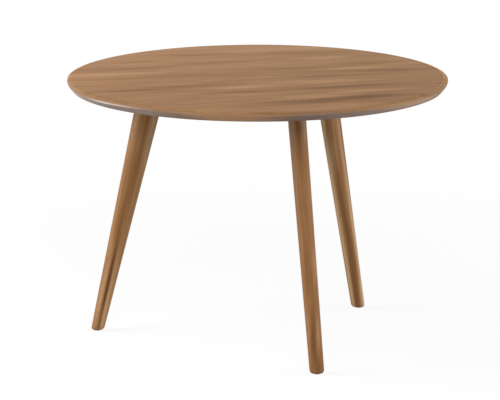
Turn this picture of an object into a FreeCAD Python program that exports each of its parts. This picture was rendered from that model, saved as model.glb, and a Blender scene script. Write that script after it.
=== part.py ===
import FreeCAD, Part
import math
import os

from FreeCAD import Vector

# Round cocktail table: a veneered disc with a sloped rim and an undercut edge, on three splayed oval legs.
# Millimetres, +Z up. The origin is on the floor under the middle of the top, and the front leg points to -Y.

# Overall
table_diameter = 650.0
table_height = 456.0

# Top: a core with a solid lipping tongued into its edge, veneered below and, out over the rim, above
core_thickness = 16.0
veneer_thickness = 0.6
lipping_count = 6
lipping_flat = 13.5
rim_slope_inset = 10.0
rim_slope_drop = 3.0
nose_height = 4.5
under_bevel_inset = 8.0
arris_radius = 8.0
tongue_depth = 8.0
tongue_thickness = 6.0
glue_gap = 0.1

# Legs: oval at the root, nearly round at the foot, tapered in straight lines between
leg_names = ("front", "right", "left")
front_leg_angle = -90.0
leg_root_setback = 143.0
foot_setback = 43.0
leg_root_width = 48.0
leg_root_thickness = 26.3
leg_foot_width = 22.6
leg_foot_thickness = 25.3
leg_join_share = 0.81
foot_edge_radius = 5.5

# Steel plate that carries each leg under the top
plate_thickness = 4.0
plate_end_reach = 32.0
plate_side_reach = 23.0
plate_corner_radius = 12.0
plate_edge_chamfer = 0.5
plate_screw_edge = 12.0

# Machine screws and threaded inserts, with plain shanks in place of threads
screw_diameter = 6.0
screw_hole_clearance = 0.3
thread_clearance = 0.05
socket_across_flats = 4.0
socket_depth = 2.0
button_head_diameter = 10.5
button_head_height = 3.3
button_head_rim = 0.8
countersunk_head_diameter = 12.0
countersunk_head_height = 3.3
countersunk_head_relief = 0.1
insert_outer_diameter = 10.0
insert_fit_clearance = 0.05
insert_chamfer = 0.6
top_insert_length = 12.0
leg_insert_length = 18.0
leg_screw_edge = 15.0
screw_end_gap = 1.0
insert_hole_spare = 1.5

# Nylon glide pressed into each foot
glide_margin = 0.8
glide_head_thickness = 3.0
glide_protrusion = 1.0
glide_rim_radius = 0.8
glide_stem_diameter = 5.0
glide_stem_length = 12.0
glide_stem_chamfer = 0.8
glide_clearance = 0.1

# Every cutting tool runs past the face that it opens by this much
overrun = 2.0

# Worked out from the sizes above
top_radius = table_diameter / 2
top_thickness = core_thickness + 2 * veneer_thickness
underside_z = table_height - top_thickness
lipping_width = under_bevel_inset + lipping_flat
core_radius = top_radius - lipping_width
rim_shoulder_radius = top_radius - rim_slope_inset
rim_tip_z = table_height - rim_slope_drop
core_bottom_z = underside_z + veneer_thickness
core_top_z = core_bottom_z + core_thickness
core_middle_z = core_bottom_z + core_thickness / 2
leg_top_z = underside_z - plate_thickness
foot_z = glide_protrusion
leg_root_circle_radius = top_radius - leg_root_setback
foot_circle_radius = top_radius - foot_setback
leg_join_turn = 2 * math.atan(
    leg_join_share * min(1, leg_foot_width / leg_foot_thickness, leg_root_width / leg_root_thickness)
)
leg_lean_tangent = (foot_circle_radius - leg_root_circle_radius) / (leg_top_z - foot_z)
plate_length = leg_root_width + 2 * plate_end_reach
plate_width = leg_root_thickness + 2 * plate_side_reach
plate_screw_pitch_along = plate_length - 2 * plate_screw_edge
plate_screw_pitch_across = plate_width - 2 * plate_screw_edge
leg_screw_pitch = leg_root_width - 2 * leg_screw_edge
leg_screw_shift = leg_lean_tangent * leg_insert_length / 2
insert_bore_radius = screw_diameter / 2 + thread_clearance
insert_hole_radius = insert_outer_diameter / 2 + insert_fit_clearance
glide_radius = min(leg_foot_width, leg_foot_thickness) / 2 - foot_edge_radius - glide_margin

UP = Vector(0, 0, 1)
CENTRE = Vector(0, 0, 0)
FULL_TURN = 360.0
HEXAGON_SIDES = 6
leg_angles = {name: front_leg_angle + i * FULL_TURN / len(leg_names) for i, name in enumerate(leg_names)}


def rounded_outline(corners):
    """Closed wire through (point, radius) corners, each rounded to its radius by a tangent arc."""
    starts, ends, arcs = [], [], []
    count = len(corners)
    for index, (point, radius) in enumerate(corners):
        back = (corners[index - 1][0] - point).normalize()
        ahead = (corners[(index + 1) % count][0] - point).normalize()
        half_angle = back.getAngle(ahead) / 2
        reach = radius / math.tan(half_angle)
        first, last = point + back * reach, point + ahead * reach
        starts.append(first)
        ends.append(last)
        if radius > 0:
            bisector = (back + ahead).normalize()
            middle = point + bisector * (radius / math.sin(half_angle) - radius)
            arcs.append(Part.Arc(first, middle, last).toShape())
        else:
            arcs.append(None)
    edges = []
    for index in range(count):
        if arcs[index]:
            edges.append(arcs[index])
        edges.append(Part.makeLine(ends[index], starts[(index + 1) % count]))
    return Part.Wire(edges)


def turned(corners, angle=FULL_TURN):
    """Solid turned about Z from a profile of (radius, height, corner radius) points."""
    outline = rounded_outline([(Vector(r, 0, z), corner) for r, z, corner in corners])
    return Part.Face(outline).revolve(CENTRE, UP, angle)


def quarter_ellipse(start, corner, end):
    """Quarter of an ellipse that leaves its start and reaches its end along the sides of a square corner."""
    curve = Part.BezierCurve()
    curve.setPoles([start, corner, end])
    curve.setWeight(2, math.sqrt(1 / 2))
    return curve.toShape()


def oval(width, thickness, middle_x, z):
    """Level oval of four tangent arcs, with its width along X.

    The arcs meet where the outline faces leg_join_turn from X. Sections that share this turn loft into
    cones that run smoothly into each other.
    """
    end_x, side_y = width / 2, thickness / 2
    cosine, sine = math.cos(leg_join_turn), math.sin(leg_join_turn)
    spread = cosine + sine - 1
    end_radius = (side_y * cosine - end_x * (1 - sine)) / spread
    side_radius = (end_x * sine - side_y * (1 - cosine)) / spread
    join_x, join_y = side_radius * cosine, end_radius * sine

    def at(x, y):
        return Vector(middle_x + x, y, z)

    arcs = [
        Part.Arc(at(join_x, -join_y), at(end_x, 0), at(join_x, join_y)),
        Part.Arc(at(join_x, join_y), at(0, side_y), at(-join_x, join_y)),
        Part.Arc(at(-join_x, join_y), at(-end_x, 0), at(-join_x, -join_y)),
        Part.Arc(at(-join_x, -join_y), at(0, -side_y), at(join_x, -join_y)),
    ]
    return Part.Wire([arc.toShape() for arc in arcs])


def upright(radius, x, y, bottom_z, top_z):
    """Upright cylinder between two heights."""
    return Part.makeCylinder(radius, top_z - bottom_z, Vector(x, y, bottom_z))


def cut_all(solid, tools):
    return solid.cut(tools) if tools else solid


def on_every_leg(shapes_at_zero):
    """The same shapes turned to each leg's place, by leg name."""
    placed = {}
    for name, angle in leg_angles.items():
        copies = [shape.copy() for shape in shapes_at_zero]
        for shape in copies:
            shape.rotate(CENTRE, UP, angle)
        placed[name] = copies
    return placed


# Places of the fasteners, on a leg that points along +X
plate_screw_places = [
    (leg_root_circle_radius + along * plate_screw_pitch_along / 2, across * plate_screw_pitch_across / 2)
    for along in (-1, 1)
    for across in (-1, 1)
]
leg_screw_places = [
    (leg_root_circle_radius + leg_screw_shift + along * leg_screw_pitch / 2, 0) for along in (-1, 1)
]


def hex_socket(x, y, mouth_z, direction):
    """Hexagonal cutting tool for a socket drive, sunk from its mouth in a direction, +1 up or -1 down."""
    corner_radius = socket_across_flats / 2 / math.cos(math.pi / HEXAGON_SIDES)
    first_corner = Vector(corner_radius, 0, 0)
    corners = []
    for index in range(HEXAGON_SIDES + 1):
        turn = FreeCAD.Rotation(UP, index * FULL_TURN / HEXAGON_SIDES)
        corners.append(turn.multVec(first_corner) + Vector(x, y, mouth_z))
    hexagon = Part.Face(Part.makePolygon(corners))
    hexagon.translate(UP * (-direction * overrun))
    return hexagon.extrude(UP * (direction * (socket_depth + overrun)))


def top_insert_holes():
    """Cutting tools for the inserts in the underside, for all legs."""
    roof_z = underside_z + top_insert_length + insert_hole_spare
    holes = [upright(insert_hole_radius, x, y, underside_z - overrun, roof_z) for x, y in plate_screw_places]
    return [hole for placed in on_every_leg(holes).values() for hole in placed]


def make_core():
    """Core disc with a groove round its edge for the lipping's tongue."""
    groove_radius = core_radius - tongue_depth - glue_gap
    groove_half = tongue_thickness / 2 + glue_gap
    disc = turned(
        [
            (0, core_bottom_z, 0),
            (core_radius, core_bottom_z, 0),
            (core_radius, core_middle_z - groove_half, 0),
            (groove_radius, core_middle_z - groove_half, 0),
            (groove_radius, core_middle_z + groove_half, 0),
            (core_radius, core_middle_z + groove_half, 0),
            (core_radius, core_top_z, 0),
            (0, core_top_z, 0),
        ]
    )
    return cut_all(disc, top_insert_holes())


def profile_point(radius, z):
    return Vector(radius, 0, z)


def rim_slope(depth):
    """Curve of the rim from its shoulder to its tip, this deep below the show face."""
    face_z, end_radius = table_height - depth, top_radius - depth
    shoulder = profile_point(rim_shoulder_radius, face_z)
    return quarter_ellipse(shoulder, profile_point(end_radius, face_z), profile_point(end_radius, rim_tip_z))


def make_face_veneer():
    """Show veneer laid over core and lipping, and pressed down over the rim to its tip."""
    low_slope, high_slope = rim_slope(veneer_thickness), rim_slope(0)
    inner_tip = profile_point(top_radius - veneer_thickness, rim_tip_z)
    edge = Part.makeLine(inner_tip, profile_point(top_radius, rim_tip_z))
    flat_points = [
        profile_point(rim_shoulder_radius, table_height),
        profile_point(0, table_height),
        profile_point(0, core_top_z),
        profile_point(rim_shoulder_radius, core_top_z),
    ]
    outline = Part.Wire(Part.makePolygon(flat_points).Edges + [low_slope, edge, high_slope])
    return Part.Face(outline).revolve(CENTRE, UP, FULL_TURN)


def make_backing_veneer():
    return cut_all(upright(core_radius, 0, 0, underside_z, core_bottom_z), top_insert_holes())


def eased_corner(start, corner, end, radius):
    """Edges from start to end by way of a corner that is rounded to a radius."""
    back, ahead = (start - corner).normalize(), (end - corner).normalize()
    half_angle = back.getAngle(ahead) / 2
    first, last = (corner + way * (radius / math.tan(half_angle)) for way in (back, ahead))
    middle = corner + (back + ahead).normalize() * (radius / math.sin(half_angle) - radius)
    return [Part.makeLine(start, first), Part.Arc(first, middle, last).toShape(), Part.makeLine(last, end)]


def make_lipping():
    """Solid wood segments round the core, with every second joint over a leg.

    Each has a tongue inside and, outside, a slope under the veneer, a blunt nose and a bevel under it.
    """
    tongue_radius, tongue_half = core_radius - tongue_depth, tongue_thickness / 2
    tip = profile_point(top_radius, rim_tip_z)
    nose_foot = profile_point(top_radius, rim_tip_z - nose_height)
    heel = profile_point(top_radius - under_bevel_inset, underside_z)
    inner_points = [
        heel,
        profile_point(core_radius, underside_z),
        profile_point(core_radius, core_middle_z - tongue_half),
        profile_point(tongue_radius, core_middle_z - tongue_half),
        profile_point(tongue_radius, core_middle_z + tongue_half),
        profile_point(core_radius, core_middle_z + tongue_half),
        profile_point(core_radius, core_top_z),
        profile_point(rim_shoulder_radius, core_top_z),
    ]
    ledge = Part.makeLine(profile_point(top_radius - veneer_thickness, rim_tip_z), tip)
    outer_edges = [rim_slope(veneer_thickness), ledge] + eased_corner(tip, nose_foot, heel, arris_radius)
    outline = Part.Wire(Part.makePolygon(inner_points).Edges + outer_edges)
    segment_angle = FULL_TURN / lipping_count
    segments = []
    for index in range(lipping_count):
        segment = Part.Face(outline).revolve(CENTRE, UP, segment_angle)
        segment.rotate(CENTRE, UP, front_leg_angle + index * segment_angle)
        segments.append(segment)
    return segments


def make_leg():
    """Leg that points along +X: a straight loft from root oval to foot, eased at the floor and bored."""
    foot = oval(leg_foot_width, leg_foot_thickness, foot_circle_radius, foot_z)
    root = oval(leg_root_width, leg_root_thickness, leg_root_circle_radius, leg_top_z)
    leg = Part.makeLoft([foot, root], True, True)
    foot_edges = [edge for edge in leg.Edges if edge.BoundBox.ZMax < foot_z + foot_edge_radius]
    leg = leg.makeFillet(foot_edge_radius, foot_edges)
    floor_z = leg_top_z - leg_insert_length - insert_hole_spare
    bores = [upright(insert_hole_radius, x, y, floor_z, leg_top_z + overrun) for x, y in leg_screw_places]
    pocket_z = foot_z - glide_protrusion + glide_head_thickness
    stem_z = pocket_z + glide_stem_length + glide_clearance
    stem_radius = glide_stem_diameter / 2 + glide_clearance
    bores.append(upright(glide_radius + glide_clearance, foot_circle_radius, 0, foot_z - overrun, pocket_z))
    bores.append(upright(stem_radius, foot_circle_radius, 0, pocket_z - glide_clearance, stem_z))
    return cut_all(leg, bores)


def make_plate():
    """Flat steel plate between the leg and the top, drilled for both sets of screws."""
    half_length, half_width = plate_length / 2, plate_width / 2
    corners = [
        (Vector(leg_root_circle_radius + sx * half_length, sy * half_width, leg_top_z), plate_corner_radius)
        for sx, sy in ((-1, -1), (1, -1), (1, 1), (-1, 1))
    ]
    plate = Part.Face(rounded_outline(corners)).extrude(UP * plate_thickness)
    lower_rim = [edge for edge in plate.Edges if edge.BoundBox.ZMax < leg_top_z + plate_edge_chamfer]
    plate = plate.makeChamfer(plate_edge_chamfer, lower_rim)
    hole_radius = screw_diameter / 2 + screw_hole_clearance
    low_z, high_z = leg_top_z - overrun, underside_z + overrun
    holes = [upright(hole_radius, x, y, low_z, high_z) for x, y in plate_screw_places + leg_screw_places]
    sink_radius = countersunk_head_diameter / 2 + countersunk_head_relief
    sink_depth = countersunk_head_height + countersunk_head_relief
    for x, y in leg_screw_places:
        seat = Vector(x, y, underside_z - sink_depth)
        holes.append(Part.makeCone(hole_radius, sink_radius, sink_depth, seat))
    return cut_all(plate, holes)


def make_insert(x, y, mouth_z, length, direction):
    """Threaded insert sunk from its mouth along the direction, +1 up or -1 down."""
    outer = insert_outer_diameter / 2
    end_z = direction * length
    insert = turned(
        [
            (insert_bore_radius, 0, 0),
            (outer, 0, 0),
            (outer, end_z - direction * insert_chamfer, 0),
            (outer - insert_chamfer, end_z, 0),
            (insert_bore_radius, end_z, 0),
        ]
    )
    insert.translate(Vector(x, y, mouth_z))
    return insert


def make_plate_screw(x, y):
    """Button-head screw from under the plate into an insert in the top."""
    head_radius, shank_radius = button_head_diameter / 2, screw_diameter / 2
    tip_z = plate_thickness + top_insert_length - screw_end_gap
    dome_rise = button_head_height - button_head_rim
    dome_radius = (dome_rise**2 + (head_radius - socket_across_flats / 2) ** 2) / (2 * dome_rise)
    crown_z = -button_head_height
    rim = Vector(head_radius, 0, -button_head_rim)
    crown = Vector(socket_across_flats / 2, 0, crown_z)
    chord_middle = (rim + crown) * (1 / 2)
    sagitta = dome_radius - math.sqrt(dome_radius**2 - rim.distanceToPoint(crown) ** 2 / 4)
    outward = Vector(button_head_height, 0, -head_radius).normalize()
    outline = Part.Wire(
        [
            Part.makeLine(Vector(0, 0, crown_z), crown),
            Part.Arc(crown, chord_middle + outward * sagitta, rim).toShape(),
            Part.makeLine(rim, Vector(head_radius, 0, 0)),
            Part.makeLine(Vector(head_radius, 0, 0), Vector(shank_radius, 0, 0)),
            Part.makeLine(Vector(shank_radius, 0, 0), Vector(shank_radius, 0, tip_z)),
            Part.makeLine(Vector(shank_radius, 0, tip_z), Vector(0, 0, tip_z)),
            Part.makeLine(Vector(0, 0, tip_z), Vector(0, 0, crown_z)),
        ]
    )
    screw = Part.Face(outline).revolve(CENTRE, UP, FULL_TURN)
    screw.translate(Vector(x, y, leg_top_z))
    return screw.cut(hex_socket(x, y, leg_top_z + crown_z, 1))


def make_leg_screw(x, y):
    """Countersunk screw from the top of the plate into an insert in the leg."""
    head_radius, shank_radius = countersunk_head_diameter / 2, screw_diameter / 2
    head_z = -countersunk_head_relief
    neck_z = head_z - countersunk_head_height
    tip_z = -plate_thickness - leg_insert_length + screw_end_gap
    screw = turned(
        [
            (0, head_z, 0),
            (head_radius, head_z, 0),
            (shank_radius, neck_z, 0),
            (shank_radius, tip_z, 0),
            (0, tip_z, 0),
        ]
    )
    screw.translate(Vector(x, y, underside_z))
    return screw.cut(hex_socket(x, y, underside_z + head_z, -1))


def make_glide():
    """Glide with a flat rounded head in the foot's pocket and a stem pressed up into the leg."""
    stem_radius = glide_stem_diameter / 2
    stem_top_z = glide_head_thickness + glide_stem_length
    glide = turned(
        [
            (0, 0, 0),
            (glide_radius, 0, glide_rim_radius),
            (glide_radius, glide_head_thickness, 0),
            (stem_radius, glide_head_thickness, 0),
            (stem_radius, stem_top_z - glide_stem_chamfer, 0),
            (stem_radius - glide_stem_chamfer, stem_top_z, 0),
            (0, stem_top_z, 0),
        ]
    )
    glide.translate(Vector(foot_circle_radius, 0, 0))
    return glide


def make_nodes():
    """Every sub-part by node name, each a list of solids."""
    nodes = {
        "top_core": [make_core()],
        "face_veneer": [make_face_veneer()],
        "backing_veneer": [make_backing_veneer()],
    }
    for index, segment in enumerate(make_lipping(), start=1):
        nodes[f"edge_lipping_{index}"] = [segment]
    per_leg = {
        "leg": [make_leg()],
        "leg_plate": [make_plate()],
        "plate_screws": [make_plate_screw(x, y) for x, y in plate_screw_places],
        "leg_screws": [make_leg_screw(x, y) for x, y in leg_screw_places],
        "top_inserts": [make_insert(x, y, underside_z, top_insert_length, 1) for x, y in plate_screw_places],
        "leg_inserts": [make_insert(x, y, leg_top_z, leg_insert_length, -1) for x, y in leg_screw_places],
        "foot_glide": [make_glide()],
    }
    for piece, solids in per_leg.items():
        for name, placed in on_every_leg(solids).items():
            nodes[f"{piece}_{name}"] = placed
    return nodes


def main():
    os.makedirs("parts", exist_ok=True)
    for node, solids in make_nodes().items():
        shape = solids[0] if len(solids) == 1 else Part.makeCompound(solids)
        shape.exportStep(f"parts/{node}.step")
        print(f"{node}: {len(shape.Solids)} solid(s), {shape.Volume / 1000:.2f} cm3, valid {shape.isValid()}")


main()
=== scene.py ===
# %% [markdown]
# # A round cocktail table, dressed for its picture
#
# The table's solids come from a CAD program and stay where they are. This lesson puts them under studio
# light, models again the pieces whose rounded surfaces show most, and gives every piece a finish made
# of shader nodes. All lengths are metres, in the table's own frame: the floor is at zero and the front
# leg points to -Y.

# %% Load the solids
import math

import bpy
from mathutils import Color, Matrix, Vector


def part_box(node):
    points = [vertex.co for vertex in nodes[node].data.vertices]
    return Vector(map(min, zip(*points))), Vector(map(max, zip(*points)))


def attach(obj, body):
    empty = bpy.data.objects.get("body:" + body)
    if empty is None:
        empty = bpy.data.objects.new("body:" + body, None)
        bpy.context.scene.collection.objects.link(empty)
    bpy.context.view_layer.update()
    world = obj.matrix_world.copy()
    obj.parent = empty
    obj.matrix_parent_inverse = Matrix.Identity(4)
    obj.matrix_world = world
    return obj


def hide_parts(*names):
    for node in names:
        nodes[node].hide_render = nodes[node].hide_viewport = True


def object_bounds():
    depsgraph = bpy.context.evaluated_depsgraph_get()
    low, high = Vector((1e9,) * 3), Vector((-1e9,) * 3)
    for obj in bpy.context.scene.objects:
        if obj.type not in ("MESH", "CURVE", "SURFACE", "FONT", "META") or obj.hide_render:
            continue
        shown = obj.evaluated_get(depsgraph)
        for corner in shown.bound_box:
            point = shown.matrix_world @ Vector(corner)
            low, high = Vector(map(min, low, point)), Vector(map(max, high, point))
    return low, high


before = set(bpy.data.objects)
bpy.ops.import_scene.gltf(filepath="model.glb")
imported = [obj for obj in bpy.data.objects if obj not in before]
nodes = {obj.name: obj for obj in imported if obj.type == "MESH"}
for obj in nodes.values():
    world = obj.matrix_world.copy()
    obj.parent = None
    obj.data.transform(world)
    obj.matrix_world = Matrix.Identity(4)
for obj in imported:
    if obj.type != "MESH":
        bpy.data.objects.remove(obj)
cad_low, cad_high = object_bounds()
scene = bpy.context.scene
scene.view_settings.view_transform = "Standard"
bpy.ops.object.select_all(action="DESELECT")
PRINT_DIGITS = 4


def rounded(values):
    """Numbers cut short enough to print."""
    return [round(value, PRINT_DIGITS) for value in values]


print(len(nodes), "CAD nodes, box from", rounded(cad_low), "to", rounded(cad_high))

# %% [markdown]
# ## The camera
# The table was photographed with a long lens from well back. The ellipse of the top and the lean of the
# legs fit a camera about seven and a half metres away, twelve degrees above the horizon and twenty
# degrees to the left of the front leg. Blender takes a focal length in millimetres, so the length in
# pixels is scaled to the sensor.

# %% Place the camera
IMAGE_WIDTH = 500
FOCAL_PIXELS = 4406.5
SENSOR_WIDTH = 36.0
CAMERA_TURN = math.radians(-20.56)
CAMERA_PITCH = math.radians(11.94)
CAMERA_DISTANCE = 7.569
AIM_SIDEWAYS = -0.01297
AIM_HEIGHT = 0.2408
CLIP_END = 100.0


def turned(place, angle):
    """A place turned about the table's upright axis."""
    return Matrix.Rotation(angle, 3, "Z") @ place


def from_camera_side(x, y, z):
    """A point given as right, away and up by the photographer, in the table's own frame."""
    return turned(Vector((x, y, z)), CAMERA_TURN)


camera_data = bpy.data.cameras.new("photo_camera")
camera_data.sensor_width = SENSOR_WIDTH
camera_data.lens = FOCAL_PIXELS / IMAGE_WIDTH * SENSOR_WIDTH
camera_data.clip_end = CLIP_END
camera = bpy.data.objects.new("photo_camera", camera_data)
scene.collection.objects.link(camera)
reach_back = CAMERA_DISTANCE * math.cos(CAMERA_PITCH)
reach_up = CAMERA_DISTANCE * math.sin(CAMERA_PITCH)
camera.location = from_camera_side(AIM_SIDEWAYS, -reach_back, AIM_HEIGHT + reach_up)
camera.rotation_euler = (math.pi / 2 - CAMERA_PITCH, 0, CAMERA_TURN)
scene.camera = camera
print("camera at", rounded(camera.location), "with a lens of", round(camera_data.lens), "mm")

# %% [markdown]
# ## Shader maths in Python
# A wood finish needs dozens of small sums: where along the grain, how dark, how rough. Node by node
# that is hard to read, so one small class wraps a socket. A plus, a minus or a product on it adds a
# Math node, its `vector` method adds Vector Math, and its `add` method puts in any other node. Colours
# go through Mix nodes, because a Math node would turn them grey.

# %% A socket that can be used in sums
VALUE_OPERATIONS = ("LENGTH", "DISTANCE", "DOT_PRODUCT")


class Wire:
    """A socket of a shader tree: arithmetic on it adds Math nodes, and add() puts in any other node."""

    def __init__(self, tree, socket=None):
        self.tree = tree
        self.socket = socket

    def add(self, kind, settings=(), inputs=(), output=0):
        """Add a node, set it up, fill or link its inputs and return one of its outputs."""
        node = self.tree.nodes.new("ShaderNode" + kind)
        for name, value in dict(settings).items():
            if name == "stops":
                elements = node.color_ramp.elements
                while len(elements) < len(value):
                    elements.new(1.0)
                for element, (position, colour) in zip(elements, value):
                    element.position = position
                    element.color = colour
            else:
                setattr(node, name, value)
        for name, value in dict(inputs).items():
            if isinstance(value, Wire):
                self.tree.links.new(value.socket, node.inputs[name])
            else:
                node.inputs[name].default_value = value
        return Wire(self.tree, node.outputs[output] if node.outputs else None)

    def beside(self, output):
        """Another output of the node that this wire comes from."""
        return Wire(self.tree, self.socket.node.outputs[output])

    def math(self, operation, *values):
        """A Math node on these values."""
        return self.add("Math", {"operation": operation}, enumerate(values))

    def vector(self, operation, *others):
        """Vector Math on this wire: a length, a distance or a dot product comes out as a value."""
        output = "Value" if operation in VALUE_OPERATIONS else "Vector"
        return self.add("VectorMath", {"operation": operation}, enumerate((self, *others)), output)

    def __add__(self, other):
        return self.math("ADD", self, other)

    def __radd__(self, other):
        return self.math("ADD", other, self)

    def __sub__(self, other):
        return self.math("SUBTRACT", self, other)

    def __rsub__(self, other):
        return self.math("SUBTRACT", other, self)

    def __mul__(self, other):
        return self.math("MULTIPLY", self, other)

    def __rmul__(self, other):
        return self.math("MULTIPLY", other, self)


print("shader sums are ready")

# %% Colours and empty trees
FULL_LEVEL = 255
SAMPLE_BROWN = (163, 126, 96)
# A Mix node has a set of sockets for each kind of data: these are the ones for colours
MIX_FACTOR, MIX_FIRST, MIX_SECOND, MIX_RESULT = 0, 6, 7, 2


def clear_tree(owner):
    """An empty shader tree on a material or a world."""
    owner.use_nodes = True
    owner.node_tree.nodes.clear()
    return Wire(owner.node_tree)


def new_finish(name):
    """A new material and its empty shader tree."""
    finish = bpy.data.materials.new(name)
    return finish, clear_tree(finish)


def object_place(tree):
    """Object coordinates, which are metres in the table's own frame."""
    return tree.add("TexCoord", output="Object")


def mix_colours(factor, first, second):
    """All of the first colour where the factor is 0, all of the second where it is 1."""
    inputs = {MIX_FACTOR: factor, MIX_FIRST: first, MIX_SECOND: second}
    return factor.add("Mix", {"data_type": "RGBA"}, inputs, output=MIX_RESULT)


def srgb(*levels):
    """A colour as read off a screen, from 0 to 255, in the linear values that shaders use."""
    on_screen = Color([level / FULL_LEVEL for level in levels])
    return (*on_screen.from_srgb_to_scene_linear(), 1.0)


print("a mid brown of", SAMPLE_BROWN, "is", rounded(srgb(*SAMPLE_BROWN)), "in linear values")

# %% [markdown]
# ## Floor, backdrop and light
# The picture is a cut-out on white. A floor bright enough to render white would also flood the table
# with light from below, so the white is given to the rays that make the picture: camera, mirror and
# glass rays meet a nearly white sheet that keeps a soft shadow, while all other rays meet a plain pale
# floor. From below, the floor is clear.

# %% A floor that is white to the camera
FLOOR_SIZE = 60.0
FLOOR_COLOUR = srgb(192, 190, 187)
PAPER_WHITE = (1.0, 1.0, 1.0, 1.0)
WHITE_STRENGTH = 1.0
FLOOR_LIFT_SHARE = 0.86
FADE_START, FADE_END = 0.5, 1.6


def picture_rays(tree):
    """1 for camera, glossy and transmission rays, 0 for the rest."""
    path = tree.add("LightPath", output="Is Camera Ray")
    glossy = path.beside("Is Glossy Ray")
    clear = path.beside("Is Transmission Ray")
    return path.math("MAXIMUM", path, path.math("MAXIMUM", glossy, clear))


bpy.ops.mesh.primitive_plane_add(size=FLOOR_SIZE)
floor = bpy.context.object
floor.name = "studio_floor"
floor_paint, tree = new_finish("floor_paint")
rays = picture_rays(tree)
distance = object_place(tree).vector("LENGTH")
fade = distance.add("MapRange", {"interpolation_type": "SMOOTHSTEP"}, {
    "Value": distance, "From Min": FADE_START, "From Max": FADE_END, "To Min": FLOOR_LIFT_SHARE,
})
paint = tree.add("BsdfDiffuse", {}, {"Color": mix_colours(rays, FLOOR_COLOUR, PAPER_WHITE)})
white = tree.add("Emission", {}, {"Strength": WHITE_STRENGTH})
lifted = tree.add("MixShader", {}, {0: rays * fade, 1: paint, 2: white})
backfacing = tree.add("NewGeometry", output="Backfacing")
clear = tree.add("BsdfTransparent")
one_way = tree.add("MixShader", {}, {0: backfacing, 1: lifted, 2: clear})
tree.add("OutputMaterial", {}, {"Surface": one_way})
floor.data.materials.append(floor_paint)
print("floor", FLOOR_SIZE, "m across")

# %% A backdrop that lights softly
AMBIENT_STRENGTH = 0.35

studio = bpy.data.worlds.new("studio")
scene.world = studio
tree = clear_tree(studio)
brightness = picture_rays(tree) * (WHITE_STRENGTH - AMBIENT_STRENGTH) + AMBIENT_STRENGTH
backdrop = tree.add("Background", {}, {"Strength": brightness})
tree.add("OutputWorld", {}, {"Surface": backdrop})
print("ambient light", AMBIENT_STRENGTH)

# %% Soft lamps
TABLE_MIDDLE = Vector((0, 0, 0.3))
SOFTBOXES = {
    # name: (place from the camera side, width, height, watts)
    "left_softbox": ((-2.12, 0.0, 1.43), 1.8, 2.0, 57.0),
    "right_softbox": ((2.32, 0.0, 0.92), 1.5, 1.2, 29.0),
    "front_softbox": ((0.0, -2.04, 1.57), 1.5, 1.2, 22.0),
}


def add_softbox(name, place, width, height, watts):
    """A rectangular lamp that faces the middle of the table."""
    lamp = bpy.data.lights.new(name, "AREA")
    lamp.shape = "RECTANGLE"
    lamp.size, lamp.size_y = width, height
    lamp.energy = watts
    softbox = bpy.data.objects.new(name, lamp)
    scene.collection.objects.link(softbox)
    softbox.location = from_camera_side(*place)
    facing = TABLE_MIDDLE - softbox.location
    softbox.rotation_euler = facing.to_track_quat("-Z", "Y").to_euler()
    softbox.visible_camera = False


for name, (place, width, height, watts) in SOFTBOXES.items():
    add_softbox(name, place, width, height, watts)
    print(name, watts, "W")

# %% [markdown]
# ## Helpers for modelling with operators
# An operator works on whatever is selected, just as a key press would. These helpers start a piece from
# a primitive, select vertices by their place, draw a flat outline, round a corner to a quarter ellipse,
# and close, copy or cut a piece. The last one hangs a finished piece on the table and hides the CAD
# nodes that it stands for.

# %% Start, select and draw
TINY = 1e-6


def start_piece(name, add_primitive, **settings):
    """Add one primitive, put its place into its mesh and open it in edit mode, all selected."""
    bpy.ops.object.select_all(action="DESELECT")
    add_primitive(**settings)
    piece = bpy.context.object
    piece.name = piece.data.name = name
    bpy.ops.object.transform_apply(location=True, rotation=True, scale=True)
    bpy.ops.object.mode_set(mode="EDIT")
    bpy.ops.mesh.select_all(action="SELECT")
    return piece


def pick(piece, test):
    """In edit mode, select the vertices whose place passes the test, with what lies between them."""
    bpy.ops.object.mode_set(mode="OBJECT")
    mesh = piece.data
    for vertex in mesh.vertices:
        vertex.select = bool(test(vertex.co))
    chosen = [vertex.select for vertex in mesh.vertices]
    for part in [*mesh.edges, *mesh.polygons]:
        part.select = all(chosen[index] for index in part.vertices)
    bpy.ops.object.mode_set(mode="EDIT")


def draw_outline(piece, points):
    """Shrink a new primitive to one vertex, walk it from point to point and fill the outline."""
    bpy.ops.mesh.merge(type="CENTER")
    bpy.ops.object.mode_set(mode="OBJECT")
    start = piece.data.vertices[0].co.copy()
    bpy.ops.object.mode_set(mode="EDIT")
    bpy.ops.transform.translate(value=points[0] - start)
    for here, there in zip(points, points[1:]):
        bpy.ops.mesh.extrude_region_move(TRANSFORM_OT_translate={"value": there - here})
    bpy.ops.mesh.select_all(action="SELECT")
    bpy.ops.mesh.edge_face_add()


print("vertices count as being in one place within", TINY, "m")

# %% Round and close
SMOOTH_ANGLE = math.radians(32)


def stretch_up(factor):
    """Stretch all of the piece that is open, in height."""
    bpy.ops.mesh.select_all(action="SELECT")
    bpy.ops.transform.resize(value=(1, 1, factor), center_override=(0, 0, 0))


def bevel_oval(piece, test, across, upright, segments, affect):
    """Round what passes the test to a quarter ellipse: stretch it to a circle, bevel, and put it back."""
    stretch = across / upright
    stretch_up(stretch)
    pick(piece, lambda place: test(Vector((place.x, place.y, place.z / stretch))))
    bpy.ops.mesh.bevel(offset=across, segments=segments, affect=affect, clamp_overlap=False)
    stretch_up(1 / stretch)


def smooth_active():
    """Shade the active piece smooth, all but its sharp edges."""
    bpy.ops.object.shade_smooth_by_angle(angle=SMOOTH_ANGLE)


def close_piece():
    """Merge doubles, turn the faces outwards, leave edit mode and shade the piece."""
    bpy.ops.mesh.select_all(action="SELECT")
    bpy.ops.mesh.remove_doubles(threshold=TINY)
    bpy.ops.mesh.normals_make_consistent(inside=False)
    bpy.ops.object.mode_set(mode="OBJECT")
    smooth_active()


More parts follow.
